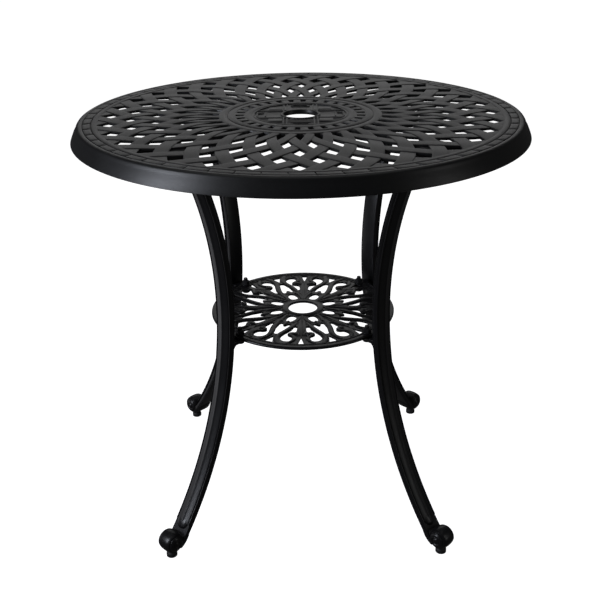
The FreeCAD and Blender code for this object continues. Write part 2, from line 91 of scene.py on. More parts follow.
def roundEdges(piece, width, segments=2):
    return addModifier(piece, "BEVEL", width=width * mm, segments=segments, limit_method="ANGLE",
                       angle_limit=sharpAngle, harden_normals=False)


def joinPieces(pieces, name):
    deselectAll()
    for piece in pieces:
        piece.select_set(True)
    bpy.context.view_layer.objects.active = pieces[0]
    if len(pieces) > 1:
        bpy.ops.object.join()
    joined = bpy.context.view_layer.objects.active
    joined.name = name
    joined.data.name = name
    return joined


def smooth(piece, angle=32):
    pickOnly(piece)
    bpy.ops.object.shade_smooth_by_angle(angle=math.radians(angle))
    return piece


def copyPiece(piece, matrix):
    other = piece.copy()
    other.data = piece.data.copy()
    bpy.context.scene.collection.objects.link(other)
    other.data.transform(matrix)
    return other


def turnAbout(angle):
    return Matrix.Rotation(math.radians(angle), 4, "Z")


def spreadRound(piece, count, name, start=0.0):
    # Copies of one piece turned about the table's axis, joined into one.
    step = 360 / count
    copies = [copyPiece(piece, turnAbout(start + step * number)) for number in range(count)]
    bpy.data.objects.remove(piece)
    return joinPieces(copies, name)


def drawWire(name, points):
    # A chain of vertices, extruded from one point to the next.
    deselectAll()
    bpy.ops.mesh.primitive_plane_add(size=mm, location=(0, 0, 0))
    piece = bpy.context.object
    piece.name = name
    bpy.ops.object.mode_set(mode="EDIT")
    selectAll()
    bpy.ops.mesh.merge(type="CENTER")
    selectAll()
    bpy.ops.transform.translate(value=Vector(points[0]) * mm)
    for before, after in zip(points, points[1:]):
        step = (Vector(after) - Vector(before)) * mm
        bpy.ops.mesh.extrude_region_move(TRANSFORM_OT_translate={"value": step})
    return piece


def closeWire():
    selectAll()
    bpy.ops.mesh.edge_face_add()


def lathe(name, outline, steps, closed=True):
    # Turns an outline of (radius, height) about the table's axis. An outline that isn't closed
    # starts and ends on the axis.
    points = [(radius, 0, height) for radius, height in outline]
    if closed:
        points.append(points[0])
    piece = drawWire(name, points)
    selectAll()
    bpy.ops.mesh.spin(steps=steps, angle=2 * math.pi, center=(0, 0, 0), axis=(0, 0, 1))
    endEdit(merge=latheGap)
    return piece


def addBlock(name, low, high, bevel, segments=2, turn=0.0):
    # A rounded block between two corners, turned about the table's axis.
    deselectAll()
    bpy.ops.mesh.primitive_cube_add(size=1)
    piece = bpy.context.object
    piece.name = name
    size = Vector(high) - Vector(low)
    middle = (Vector(high) + Vector(low)) / 2
    piece.data.transform(Matrix.Diagonal((*(size * mm), 1)))
    piece.data.transform(Matrix.Translation(middle * mm))
    if bevel:
        roundEdges(piece, bevel, segments)
    if turn:
        piece.data.transform(turnAbout(turn))
    return piece


def addDrum(name, radius, length, vertices, bevel):
    deselectAll()
    bpy.ops.mesh.primitive_cylinder_add(vertices=vertices, radius=radius * mm, depth=length * mm)
    piece = bpy.context.object
    piece.name = name
    if bevel:
        roundEdges(piece, bevel, 3)
    return piece


def cutAway(piece, cutter):
    addModifier(piece, "BOOLEAN", object=cutter, operation="DIFFERENCE", solver="EXACT")
    bpy.data.objects.remove(cutter)


def addBead(name, points, radius, taper, flat=1.0, low=None, sides=3):
    # A rounded bead along points, with its share of the radius at each, flattened down onto a
    # height if one is given.
    deselectAll()
    data = bpy.data.curves.new(name, "CURVE")
    data.dimensions = "3D"
    data.bevel_depth = radius * mm
    data.bevel_resolution = sides
    data.use_fill_caps = True
    data.resolution_u = 6
    spline = data.splines.new("NURBS")
    spline.points.add(len(points) - 1)
    for number, point in enumerate(points):
        spline.points[number].co = (*(Vector(point) * mm), 1)
        spline.points[number].radius = taper[number]
    spline.order_u = min(4, len(points))
    spline.use_endpoint_u = True
    piece = bpy.data.objects.new(name, data)
    bpy.context.scene.collection.objects.link(piece)
    pickOnly(piece)
    bpy.ops.object.convert(target="MESH")
    piece = bpy.context.object
    if low is not None:
        shift = Matrix.Translation((0, 0, low * mm))
        piece.data.transform(shift @ Matrix.Diagonal((1, 1, flat, 1)) @ shift.inverted())
    return piece


def castPlate(name, loops, low, high, bevel):
    # A flat casting: the first loop is its edge and the others are openings. Each loop is a list
    # of (x, y) corners, with True where a smooth curve runs through them.
    deselectAll()
    data = bpy.data.curves.new(name, "CURVE")
    data.dimensions = "2D"
    data.fill_mode = "BOTH"
    data.extrude = ((high - low) / 2 - bevel) * mm
    data.bevel_depth = bevel * mm
    data.bevel_resolution = 1
    data.offset = -bevel * mm
    for corners, curved in loops:
        spline = data.splines.new("BEZIER")
        spline.bezier_points.add(len(corners) - 1)
        for knot, (x, y) in zip(spline.bezier_points, corners):
            knot.co = (x * mm, y * mm, 0)
            knot.handle_left_type = knot.handle_right_type = "AUTO" if curved else "VECTOR"
        spline.use_cyclic_u = True
    data.resolution_u = 4  # holds for all the loops, so it is set after they are drawn
    piece = bpy.data.objects.new(name, data)
    bpy.context.scene.collection.objects.link(piece)
    pickOnly(piece)
    bpy.ops.object.convert(target="MESH")
    piece = bpy.context.object
    piece.data.transform(Matrix.Translation((0, 0, (low + high) / 2 * mm)))
    startEdit(piece)
    endEdit(merge=mergeGap)
    return piece


def onCircle(radius, angle):
    return (radius * math.cos(math.radians(angle)), radius * math.sin(math.radians(angle)))


def circleLoop(radius, count=64):
    return [onCircle(radius, 360 * number / count) for number in range(count)]


# Materials

class Wire:
    # A shader socket that can be used in sums.
    def __init__(self, tree, socket):
        self.tree = tree
        self.socket = socket

    def maths(self, operation, first, second):
        node = self.tree.nodes.new("ShaderNodeMath")
        node.operation = operation
        for slot, value in zip(node.inputs, (first, second)):
            if isinstance(value, Wire):
                self.tree.links.new(value.socket, slot)
            else:
                slot.default_value = value
        return Wire(self.tree, node.outputs[0])

    def __add__(self, other):
        return self.maths("ADD", self, other)

    def __mul__(self, other):
        return self.maths("MULTIPLY", self, other)

    def __radd__(self, other):
        return self.maths("ADD", other, self)

    def __rmul__(self, other):
        return self.maths("MULTIPLY", other, self)


class Finish:
    # One material and the calls that add nodes to it.
    def __init__(self, name):
        self.material = bpy.data.materials.new(name)
        self.material.use_nodes = True
        self.tree = self.material.node_tree
        self.shader = self.tree.nodes["Principled BSDF"]
        self.place = self.node("ShaderNodeTexCoord", output="Object")

    def node(self, kind, output=0, settings=None, **sockets):
        node = self.tree.nodes.new(kind)
        for name, value in (settings or {}).items():
            setattr(node, name, value)
        for name, value in sockets.items():
            self.feed(node.inputs[name.replace("_", " ")], value)
        return Wire(self.tree, node.outputs[output])

    def feed(self, socket, value):
        if isinstance(value, Wire):
            self.tree.links.new(value.socket, socket)
        else:
            socket.default_value = value

    def noise(self, scale, detail, roughness=0.5):
        return self.node("ShaderNodeTexNoise", Vector=self.place, Scale=scale, Detail=detail,
                         Roughness=roughness)

    def between(self, wire, low, high):
        # Spreads the range that a noise mostly keeps to over a range of numbers.
        return self.node("ShaderNodeMapRange", Value=wire, From_Min=0.3, From_Max=0.7,
                         To_Min=low, To_Max=high)

    def blend(self, factor, first, second):
        mixed = self.node("ShaderNodeMix", output=2, settings={"data_type": "RGBA"}, Factor=factor)
        sockets = mixed.socket.node.inputs
        self.feed(sockets[6], first)  # the colour pair, which shares its names with the number pair
        self.feed(sockets[7], second)
        return mixed

    def bump(self, height, distance, strength):
        normal = self.node("ShaderNodeBump", output="Normal", Height=height, Distance=distance,
                           Strength=strength)
        self.feed(self.shader.inputs["Normal"], normal)

    def set(self, **values):
        for name, value in values.items():
            self.feed(self.shader.inputs[name.replace("_", " ")], value)


powderCoat = {
    "cloudScale": 14,
    "grainScale": 420,
    "peelScale": 1500,
    "castScale": 90,
    "bumpDistance": 0.00018,
    "bumpStrength": 0.55,
    "top": {"dark": (0.005, 0.005, 0.0055, 1), "light": (0.01, 0.01, 0.0105, 1),
            "gloss": (0.36, 0.44)},
    "leg": {"dark": (0.006, 0.006, 0.007, 1), "light": (0.011, 0.0105, 0.012, 1),
            "gloss": (0.29, 0.37)},
}


def makePowderCoat(name, tone):
    # Satin black powder coat on a sand casting: fine orange peel over a soft cast texture.
    finish = Finish(name)
    cloud = finish.noise(powderCoat["cloudScale"], 3)
    grain = finish.noise(powderCoat["grainScale"], 2)
    peel = finish.noise(powderCoat["peelScale"], 2, 0.6)
    cast = finish.noise(powderCoat["castScale"], 3)
    shade = finish.between(cloud * 0.7 + grain * 0.3, 0.0, 1.0)
    finish.set(Base_Color=finish.blend(shade, tone["dark"], tone["light"]),
               Roughness=finish.between(cloud * 0.4 + grain * 0.6, *tone["gloss"]))
    finish.bump(peel * 0.45 + cast * 0.55, powderCoat["bumpDistance"], powderCoat["bumpStrength"])
    return finish.material


platedSteel = {
    "streakScale": 260,
    "stainScale": 40,
    "stainDepth": 0.72,
    "roughSpread": (-0.07, 0.1),
    "bumpDistance": 0.00008,
    "bumpStrength": 0.4,
    "black": {"colour": (0.05, 0.05, 0.053, 1), "rough": 0.38, "metallic": 0.6},
    "zinc": {"colour": (0.55, 0.55, 0.56, 1), "rough": 0.3, "metallic": 1.0},
}


def makePlatedSteel(name, tone):
    finish = Finish(name)
    streak = finish.noise(platedSteel["streakScale"], 3)
    stain = finish.noise(platedSteel["stainScale"], 2)
    stained = tuple(channel * platedSteel["stainDepth"] for channel in tone["colour"][:3]) + (1,)
    less, more = platedSteel["roughSpread"]
    finish.set(Base_Color=finish.blend(finish.between(stain, 0.0, 1.0), tone["colour"], stained),
               Metallic=tone["metallic"],
               Roughness=finish.between(streak, tone["rough"] + less, tone["rough"] + more))
    finish.bump(streak, platedSteel["bumpDistance"], platedSteel["bumpStrength"])
    return finish.material


nylonLook = {
    "speckleScale": 700,
    "scuffScale": 60,
    "dark": (0.012, 0.012, 0.013, 1),
    "light": (0.03, 0.03, 0.031, 1),
    "rough": (0.5, 0.68),
    "bumpDistance": 0.0001,
    "bumpStrength": 0.5,
}


def makeNylon(name):
    finish = Finish(name)
    speckle = finish.noise(nylonLook["speckleScale"], 2)
    scuff = finish.noise(nylonLook["scuffScale"], 4, 0.65)
    shade = finish.blend(finish.between(scuff, 0.0, 1.0), nylonLook["dark"], nylonLook["light"])
    finish.set(Base_Color=shade, Roughness=finish.between(speckle, *nylonLook["rough"]))
    finish.bump(speckle, nylonLook["bumpDistance"], nylonLook["bumpStrength"])
    return finish.material


topCoat = makePowderCoat("topPowderCoat", powderCoat["top"])
legCoat = makePowderCoat("legPowderCoat", powderCoat["leg"])
blackSteel = makePlatedSteel("blackFastener", platedSteel["black"])
zincSteel = makePlatedSteel("zincStud", platedSteel["zinc"])
nylon = makeNylon("glideNylon")


def dress(piece, material, body, node):
    piece.data.materials.clear()
    piece.data.materials.append(material)
    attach(piece, body)
    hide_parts(node)


# Camera and studio

camera = {
    "place": (-0.0067, -1.5619, 1.0826),
    "yaw": 0.0616,
    "pitch": 24.1607,
    "roll": -0.7764,
    "lens": 56.3153,
    "sensor": 36,
    "clipEnd": 50,
}


def aimCamera():
    data = bpy.data.cameras.new("Camera")
    data.lens = camera["lens"]
    data.sensor_width = camera["sensor"]
    data.clip_end = camera["clipEnd"]
    eye = bpy.data.objects.new("Camera", data)
    bpy.context.scene.collection.objects.link(eye)
    yaw = math.radians(camera["yaw"])
    pitch = math.radians(camera["pitch"])
    roll = math.radians(camera["roll"])
    ahead = Vector((math.sin(yaw) * math.cos(pitch), math.cos(yaw) * math.cos(pitch),
                    -math.sin(pitch)))
    level = Vector((math.cos(yaw), -math.sin(yaw), 0))
    over = level.cross(ahead)
    right = level * math.cos(roll) + over * math.sin(roll)
    upward = over * math.cos(roll) - level * math.sin(roll)
    turn = Matrix((right, upward, -ahead)).transposed().to_4x4()
    eye.matrix_world = Matrix.Translation(camera["place"]) @ turn
    bpy.context.scene.camera = eye


studio = {
    "ambient": 0.04,
    "surround": 12.0,
    "surroundGlow": 1.12,
    "floorGlow": 1.0,
    "stageColour": (0.92, 0.92, 0.92, 1),
    "lights": {
        "overhead": {"place": (0.0, 0.3, 2.7), "aim": (0, 0, 0.7), "size": (2.2, 2.2), "power": 5,
                     "colour": (1, 1, 1)},
        "legSheet": {"place": (-1.15, 0.4, 0.04), "aim": (-0.25, -0.2, 0.5), "size": (0.7, 0.7),
                     "power": 0.8, "colour": (0.94, 0.94, 1)},
        "rimBox": {"place": (-1.85, -0.95, 1.3), "aim": (-0.15, -0.3, 0.55), "size": (0.45, 1.2),
                   "power": 23, "colour": (0.86, 0.9, 1)},
        "backSheet": {"place": (0.0, 2.6, 1.35), "aim": (0, 0, 0.7), "size": (2.4, 0.8),
                      "power": 4.0, "colour": (1, 1, 1)},
        "rightStrip": {"place": (2.2, -1.0, 1.0), "aim": (0, 0, 0.4), "size": (0.25, 1.8),
                       "power": 3, "colour": (1, 1, 1)},
    },
}


def makeStage(piece, name, glow):
    # A pale surface that only the camera sees, so that the black paint stays black.
    piece.name = name
    piece.data.transform(piece.matrix_world)
    piece.matrix_world = Matrix.Identity(4)
    paint = Finish(f"{name}Paint")
    paint.set(Base_Color=studio["stageColour"], Roughness=0.9, Emission_Color=(1, 1, 1, 1),
              Emission_Strength=glow)
    piece.data.materials.append(paint.material)
    piece.visible_diffuse = False
    piece.visible_glossy = False


def buildStudio():
    world = bpy.context.scene.world or bpy.data.worlds.new("World")
    bpy.context.scene.world = world
    world.use_nodes = True
    background = world.node_tree.nodes["Background"]
    background.inputs["Color"].default_value = (1, 1, 1, 1)
    background.inputs["Strength"].default_value = studio["ambient"]
    deselectAll()
    bpy.ops.mesh.primitive_plane_add(size=studio["surround"] * 2)
    makeStage(bpy.context.object, "floor", studio["floorGlow"])
    deselectAll()
    bpy.ops.mesh.primitive_uv_sphere_add(segments=48, ring_count=24, radius=studio["surround"])
    makeStage(bpy.context.object, "surround", studio["surroundGlow"])
    for name, light in studio["lights"].items():
        data = bpy.data.lights.new(name, "AREA")
        data.shape = "RECTANGLE"
        data.size, data.size_y = light["size"]
        data.energy = light["power"]
        data.color = light["colour"]
        lamp = bpy.data.objects.new(name, data)
        bpy.context.scene.collection.objects.link(lamp)
        lamp.location = light["place"]
        beam = Vector(light["aim"]) - Vector(light["place"])
        lamp.rotation_euler = beam.to_track_quat("-Z", "Y").to_euler()
    bpy.context.scene.view_settings.view_transform = "Standard"


aimCamera()
buildStudio()
print("camera and studio ready")


# Border ring of the top, with its brick band and flared skirt

border = {
    "top": 724.3,
    "outer": 380.0,
    "skirtLow": 697.6,
    "shoulder": 371.5,
    "flat": 364.0,
    "brickOuter": 359.0,
    "brickInner": 345.5,
    "lattice": 335.0,
    "channel": 1.3,
    "bricks": 60,
    "joint": 1.5,
    "brickSlant": 0.35,
    "brickDepth": 2.4,
    "brickGap": 0.5,
    "brickEdge": 0.55,
    "steps": 288,
}


def makeBorder():
    top = border["top"]
    low = border["skirtLow"]
    channel = border["channel"]
    outline = [
        (border["lattice"] - 0.2, top - 1.1), (border["lattice"] + 0.3, top - 0.4),
        (border["lattice"] + 1.2, top), (border["brickInner"] - 1.1, top),
        (border["brickInner"] - 0.4, top - 0.35), (border["brickInner"], top - channel),
        (border["brickOuter"], top - channel), (border["brickOuter"] + 0.4, top - 0.35),
        (border["brickOuter"] + 1.1, top), (border["flat"], top),
        (border["flat"] + 2.2, top - 0.4), (border["flat"] + 4.0, top - 1.4),
        (border["flat"] + 5.3, top - 3.2), (border["flat"] + 6.2, top - 5.6),
        (border["shoulder"], top - 8.4), (border["shoulder"] + 2.4, top - 12.0),
        (border["outer"] - 2.6, low + 7.0), (border["outer"] - 0.6, low + 2.0),
        (border["outer"] - 0.2, low + 0.6), (border["outer"] - 1.2, low),
        (border["outer"] - 4.2, low), (border["outer"] - 5.0, low + 0.8),
        (border["shoulder"] - 5.0, top - 7.5), (border["shoulder"] - 7.5, top - 5.2),
        (border["lattice"] - 0.2, top - 5.0)]
    return smooth(lathe("top_border", outline, border["steps"]), 40)


def makeBricks():
    top = border["top"]
    pitch = 360 / border["bricks"]
    inner = border["brickInner"] + border["brickGap"]
    outer = border["brickOuter"] - border["brickGap"]
    middle = (inner + outer) / 2
    width = math.radians(pitch) * middle - border["joint"]
    brick = addBlock("brick", (inner, -width / 2, top - border["brickDepth"]),
                     (outer, width / 2, top), 0)
    startEdit(brick)
    selectAll()
    bpy.ops.mesh.subdivide(number_cuts=2)
    endEdit()
    for vertex in brick.data.vertices:
        # Bend the brick along its ring and give its joints a slight slant.
        radius = vertex.co.x / mm
        angle = vertex.co.y / (middle * mm)
        angle += math.radians(border["brickSlant"]) * (radius - middle) / (outer - inner)
        vertex.co.x = radius * mm * math.cos(angle)
        vertex.co.y = radius * mm * math.sin(angle)
    roundEdges(brick, border["brickEdge"])
    return smooth(spreadRound(brick, border["bricks"], "bricks"))


# Woven lattice: two families of straps that pass over and under each other

weave = {
    "straps": 32,
    "arcRadius": 222.9,  # each strap is an arc of this radius
    "arcCentre": 234.15,  # distance of the arc's centre from the table's axis
    "firstHole": 317.6,
    "turn": -0.75,
    "depth": 1.1,  # how far the lower strap lies under the upper one at a crossing
    "crown": 0.15,
    "columnDrops": {1.0: 0.4, 0.96: 0.1},  # how far the strap's outer columns fall
    "overrun": 0.3,  # steps that the grid has to spare at both ends
    "outerEnd": 336.5,
    "innerEnd": 134.0,
    "low": 719.5,
    "rowsPerStep": 12,
    # Places of the grid's lines across the strap, closer together at its edges
    "columns": (-1.0, -0.96, -0.86, -0.6, -0.2, 0.2, 0.6, 0.86, 0.96, 1.0),
}


def strapTurn(radius):
    centre = weave["arcCentre"]
    arc = weave["arcRadius"]
    return math.degrees(math.acos((radius ** 2 + centre ** 2 - arc ** 2) / (2 * radius * centre)))


def strapReach(turn):
    centre = weave["arcCentre"]
    arc = weave["arcRadius"]
    along = centre * math.cos(math.radians(turn))
    return along + math.sqrt(along ** 2 - centre ** 2 + arc ** 2)


def makeStrap(name, hand):
    # One strap. hand is +1 where the strap turns anticlockwise on its way in, else -1.
    step = 180 / weave["straps"]
    half = step / 2
    first = strapTurn(weave["firstHole"])
    lowStep = (strapTurn(weave["outerEnd"]) - first) / step
    highStep = (strapTurn(weave["innerEnd"]) - first) / step
    columns = weave["columns"]
    begin = lowStep - weave["overrun"]
    rows = int((highStep - lowStep + 2 * weave["overrun"]) * weave["rowsPerStep"]) + 1
    deselectAll()
    bpy.ops.mesh.primitive_grid_add(x_subdivisions=rows, y_subdivisions=len(columns) - 1, size=2)
    strap = bpy.context.object
    strap.name = name
    for vertex in strap.data.vertices:
        row = round((vertex.co.x + 1) / 2 * rows)
        column = columns[round((vertex.co.y + 1) / 2 * (len(columns) - 1))]
        across = column * half
        along = begin + row / weave["rowsPerStep"]
        # Steps are counted along the other family, so the strap's ends follow their circles.
        steps = min(max(along + across / (2 * step), lowStep), highStep)
        along = steps - across / (2 * step)
        # The strap lies over the other family at even steps for one hand, odd for the other.
        wave = math.cos(math.pi * along) * hand
        drop = weave["depth"] * (1 - wave) / 2
        drop += weave["crown"] * column ** 2 + weave["columnDrops"].get(abs(column), 0)
        radius = strapReach(first + steps * step)
        angle = math.radians(hand * (steps * step - across) + 90 + weave["turn"] + step)
        vertex.co = Vector((radius * math.cos(angle), radius * math.sin(angle),
                            border["top"] - drop)) * mm
    startEdit(strap)
    selectAll()
    bpy.ops.mesh.extrude_region_move()
    bpy.ops.transform.resize(value=(1, 1, 0), center_override=(0, 0, weave["low"] * mm))
    endEdit(merge=mergeGap)
    return strap


def makeLattice():
    pieces = []
    for name, hand in (("straps_left", 1), ("straps_right", -1)):
        strap = makeStrap(name, hand)
        pieces.append(smooth(spreadRound(strap, weave["straps"], name), 40))
    return pieces


# Hub of the top: ring of slots, medallion and umbrella collar

hub = {
    "edge": 136.8,
    "groove": 122.4,
    "slots": 30,
    "slotTurn": 3.0,
    "slotOuter": 109.7,
    "slotInner": 94.6,
    "slotWidth": 9.6,
    "slotTaper": 0.8,  # share of the width at the slot's inner end
    "slotDrop": 0.5,
    "medallion": 76.5,
    "floorDrop": 1.6,
    "low": 719.4,
    "ribLow": 712.4,
    "hole": 28.7,
    "collarTop": 33.4,
    "collar": 36.7,
    "collarLow": 716.3,
    "windowDepth": 1.4,
    "barOffsets": (22.5, 28.5),
    "barWidth": 2.4,
    "square": 22.5,
    "squareOffset": 42.0,
    "windowLength": 25.0,
    "windowTaper": 0.92,  # share of the length along the window's outer side
    "windowInner": 61.5,
    "windowOuter": 71.0,
    "sills": ((58.3, 0.4), (72.6, 0.5)),  # distance from the axis, and how far below the top
    "sillWidth": 2.6,
    "sillPast": 4.0,
    "steps": 192,
}


def makeHubRings():
    top = border["top"]
    low = hub["low"]
    groove = hub["groove"]
    edge = hub["edge"]
    outer = lathe("hub_outer", [
        (hub["slotOuter"] + 0.6, top - 0.7), (hub["slotOuter"] + 1.6, top),
        (groove - 1.5, top), (groove - 0.7, top - 0.4), (groove, top - 1.1),
        (groove + 0.7, top - 0.4), (groove + 1.5, top), (edge - 1.6, top),
        (edge - 0.5, top - 0.4), (edge, top - 1.4), (edge, hub["ribLow"] + 0.8),
        (edge - 0.8, hub["ribLow"]), (edge - 5.2, hub["ribLow"]), (edge - 6.0, hub["ribLow"] + 0.8),
        (edge - 6.6, low), (hub["slotOuter"] + 0.6, low)], hub["steps"])
    inner = lathe("hub_inner", [
        (hub["medallion"], top - 1.0), (hub["medallion"] + 0.5, top - 0.2),
        (hub["medallion"] + 1.4, top), (hub["medallion"] + 3.2, top - 0.2),
        (hub["medallion"] + 4.0, top - 0.8), (hub["medallion"] + 5.0, top - 0.3),
        (hub["slotInner"] - 2.4, top - 0.3), (hub["slotInner"] - 0.6, top - 0.9),
        (hub["slotInner"] - 0.6, low), (hub["medallion"], low)], hub["steps"])
    half = hub["slotWidth"] / 2
    loops = [(circleLoop(hub["slotOuter"] + 1.0, 96), True),
             (circleLoop(hub["slotInner"] - 1.0, 96), True)]
    for number in range(hub["slots"]):
        turn = math.radians(hub["slotTurn"] + number * 360 / hub["slots"])
        corners = []
        inside = half * hub["slotTaper"]
        for radius, across in ((hub["slotInner"], -inside), (hub["slotInner"], inside),
                               (hub["slotOuter"] - 1, half), (hub["slotOuter"] - 1, -half)):
            corners.append((radius * math.cos(turn) - across * math.sin(turn),
                            radius * math.sin(turn) + across * math.cos(turn)))
        loops.append((corners, False))
    slots = castPlate("hub_slots", loops, low, top - hub["slotDrop"], 0.4)
    return [smooth(outer), smooth(inner), smooth(slots, 40)]


def makeMedallion():
    top = border["top"]
    floor = top - hub["floorDrop"]
    ring = [(circleLoop(hub["medallion"] + 1), True), (circleLoop(hub["hole"] + 2, 48), True)]
    loops = list(ring)
    sunk = floor - hub["windowDepth"]
    half = hub["windowLength"] / 2
    for quarter in range(4):
        turn = Matrix.Rotation(math.radians(90 * quarter), 2)
        outside = half * hub["windowTaper"]
        corners = ((hub["windowInner"], -half), (hub["windowOuter"], -outside),
                   (hub["windowOuter"], outside), (hub["windowInner"], half))
        loops.append(([tuple(turn @ Vector(corner)) for corner in corners], False))
    pieces = [castPlate("medallion", loops, sunk - 0.05, floor, 0.3),
              castPlate("window_floor", ring, hub["low"], sunk, 0.3)]
    pieces.append(lathe("collar", [
        (hub["hole"], top - 1.2), (hub["hole"] + 0.5, top - 0.4), (hub["hole"] + 1.4, top),
        (hub["collarTop"] - 1.2, top), (hub["collarTop"] - 0.3, top - 0.4),
        (hub["collarTop"], top - 1.2), (hub["collarTop"], hub["low"]), (hub["collar"], hub["low"]),
        (hub["collar"] - 0.4, hub["collarLow"] + 1), (hub["collar"] - 1.4, hub["collarLow"]),
        (hub["hole"] + 1, hub["collarLow"]), (hub["hole"], hub["collarLow"] + 1)], 96))
    for quarter in range(4):
        for offset in hub["barOffsets"]:
            half = hub["barWidth"] / 2
            reach = math.sqrt(hub["medallion"] ** 2 - offset ** 2)
            start = 0 if offset > hub["hole"] else math.sqrt(hub["collarTop"] ** 2 - offset ** 2)
            for side in (-1, 1):
                near, far = sorted((start * side, reach * side))
                pieces.append(addBlock("bar", (near, offset - half, floor - 0.4),
                                       (far, offset + half, top - 0.5), 0.45, 1, 90 * quarter))
        offset = hub["squareOffset"]
        reach = hub["square"] / 2
        pieces.append(addBlock("square", (offset - reach, offset - reach, floor - 0.4),
                               (offset + reach, offset + reach, top - 0.7), 0.6, 2, 90 * quarter))
        for offset, drop in hub["sills"]:
            reach = hub["windowLength"] / 2 + hub["sillPast"]
            half = hub["sillWidth"] / 2
            pieces.append(addBlock("sill", (offset - half, -reach, floor - 0.4),
                                   (offset + half, reach, top - drop), 0.5, 1, 90 * quarter))
    return smooth(joinPieces(pieces, "hub_medallion"))


# Bosses under the top that the legs are bolted to, each with two ribs out to the skirt

boss = {
    "inner": 246.0,
    "outer": 300.0,
    "width": 52.0,
    "low": 708.3,
    "bevel": 2.0,
    "ribInset": 6.0,
    "ribWidth": 5.0,
    "ribRise": 2.0,
}


def makeBosses():
    half = boss["width"] / 2
    pieces = []
    for angle in legAngles.values():
        block = addBlock("boss", (boss["inner"], -half, boss["low"]),
                         (boss["outer"], half, weave["low"] + 1), boss["bevel"], 3)
        ribs = []
        for side in (-1, 1):
            middle = side * (half - boss["ribInset"])
            thick = boss["ribWidth"] / 2
            low = boss["low"] + boss["ribRise"]
            ribs.append(addBlock("rib", (boss["outer"] - 4, middle - thick, low),
                                 (border["shoulder"] - 5, middle + thick, weave["low"] + 0.6), 1))
        joined = joinPieces([block, *ribs], "boss")
        joined.data.transform(turnAbout(angle))
        pieces.append(joined)
    return smooth(joinPieces(pieces, "top_bosses"))


for piece in (makeBorder(), makeBricks(), *makeLattice(), *makeHubRings(), makeMedallion(),
              makeBosses()):
    dress(piece, topCoat, "frame", "table_top")
print("table top ready")


# Legs: one section spun about the two arcs of the bow

leg = {
    "waistRadius": 186.0,  # where the bow comes nearest to the table's axis
    "waistHeight": 426.7,
    "upperArc": 614.1,
    "lowerArc": 653.9,
    "topHeight": 704.6,
    "footHeight": 31.0,
    "footRadius": 334.3,
    "seatLow": 702.3,
    "seatHigh": 708.3,
    "seatWidth": 50.0,
    "webThickness": 6.0,
    "webHeight": 34.0,
    "scrollRadius": 19.0,
    "scrollHalf": 18.0,
    "lugTop": 363.7,
    "lugLow": 356.7,
    "lugHalf": 11.0,
    "boltRadius": 154.5,
    "gussetDrop": 58.0,
    "gussetThickness": 7.0,
    "ribEnd": 54.0,  # height where the crowned face gives way to the plain ankle
    "plainFace": 2.8,  # highest offset of the section below it
    "tongueSize": (4.8, 13.0, 12.5),
    "heelStart": (301.5, 41.5),
    "heelEnd": (325.0, 14.3),
    "heelBulge": (-6.5, -5.5),
    "heelHalf": 15.7,
    "seatBulge": (-9, 9),
    "gussetBulge": (8, 9),
    "steps": {"upper": 28, "lower": 36, "ankle": 6},
    # Half of the section, from the crest round to the inner face, as offset and side
    "crownedFace": [(8.15, 0.0), (8.1, 0.8), (7.85, 1.5), (7.4, 2.3), (7.0, 3.4), (6.1, 7.4),
                    (5.1, 11.9), (4.7, 13.0), (4.1, 13.6)],
    "grooveAndBead": [(3.4, 14.0), (3.3, 14.6), (3.9, 15.3), (4.6, 15.9), (4.7, 16.6), (4.2, 17.1),
                      (3.6, 17.25), (2.7, 17.1), (2.3, 16.5)],
    "flank": [(2.0, 15.4), (1.2, 15.0), (0.4, 15.3), (-0.2, 15.75), (-4.6, 15.75), (-5.2, 15.2),
              (-5.8, 15.2), (-6.3, 15.7), (-7.2, 15.7), (-7.9, 15.1), (-8.15, 14.2), (-8.15, 0.0)],
    # The scroll's outline on one side, as distance from its axle and depth under its end
    "scrollFace": [(0.0, -1.4), (2.6, -1.2), (4.6, -0.4), (5.6, 0.8), (6.4, 0.9), (7.6, -0.2),
                   (9.6, -0.3), (11.8, 0.6), (13.6, 2.2), (14.2, 3.6), (15.0, 3.8), (16.0, 3.7),
                   (17.2, 5.2), (18.1, 8.0), (18.7, 11.6)],
    "voluteRadius": 1.3,
    "volutePoints": 30,
    "voluteTurn": 20,
    "voluteStart": 200,
    "voluteReach": 15.6,
    "voluteCloser": 0.34,  # how much nearer the axle each point is
    "voluteFlat": 7.0,  # distance from the axle at which the volute starts to sink
    "voluteSink": 4.6,  # how far it has sunk at voluteReach
}


def spinSection(name, arc, fall, start=0.0, highest=math.inf):
    # Sweeps the leg's section along one arc, between two heights measured from the waist, and
    # cuts off what stands further out than highest.
    half = [(min(offset, highest), side)
            for offset, side in leg["crownedFace"] + leg["grooveAndBead"] + leg["flank"]]
    across = half + [(offset, -side) for offset, side in reversed(half[1:-1])]
    points = [(leg["waistRadius"] + offset, side, leg["waistHeight"]) for offset, side in across]
    piece = drawWire(name, [*points, points[0]])
    selectAll()
    bpy.ops.mesh.remove_doubles(threshold=mergeGap)
    selectAll()
    centre = ((leg["waistRadius"] + arc) * mm, 0, leg["waistHeight"] * mm)
    first = math.asin(start / arc)
    last = math.asin(fall / arc)
    bpy.ops.mesh.spin(steps=leg["steps"][name], angle=last - first, center=centre, axis=(0, -1, 0))
    selectAll()
    bpy.ops.mesh.remove_doubles(threshold=mergeGap)
    bpy.ops.mesh.select_all(action="DESELECT")
    bpy.ops.mesh.select_non_manifold(extend=False)
    bpy.ops.mesh.edge_face_add()
    selectAll()
    bpy.ops.mesh.normals_make_consistent(inside=False)
    endEdit()
    middle = Matrix.Translation(centre)
    piece.data.transform(middle @ Matrix.Rotation(first, 4, "Y") @ middle.inverted())
    return piece


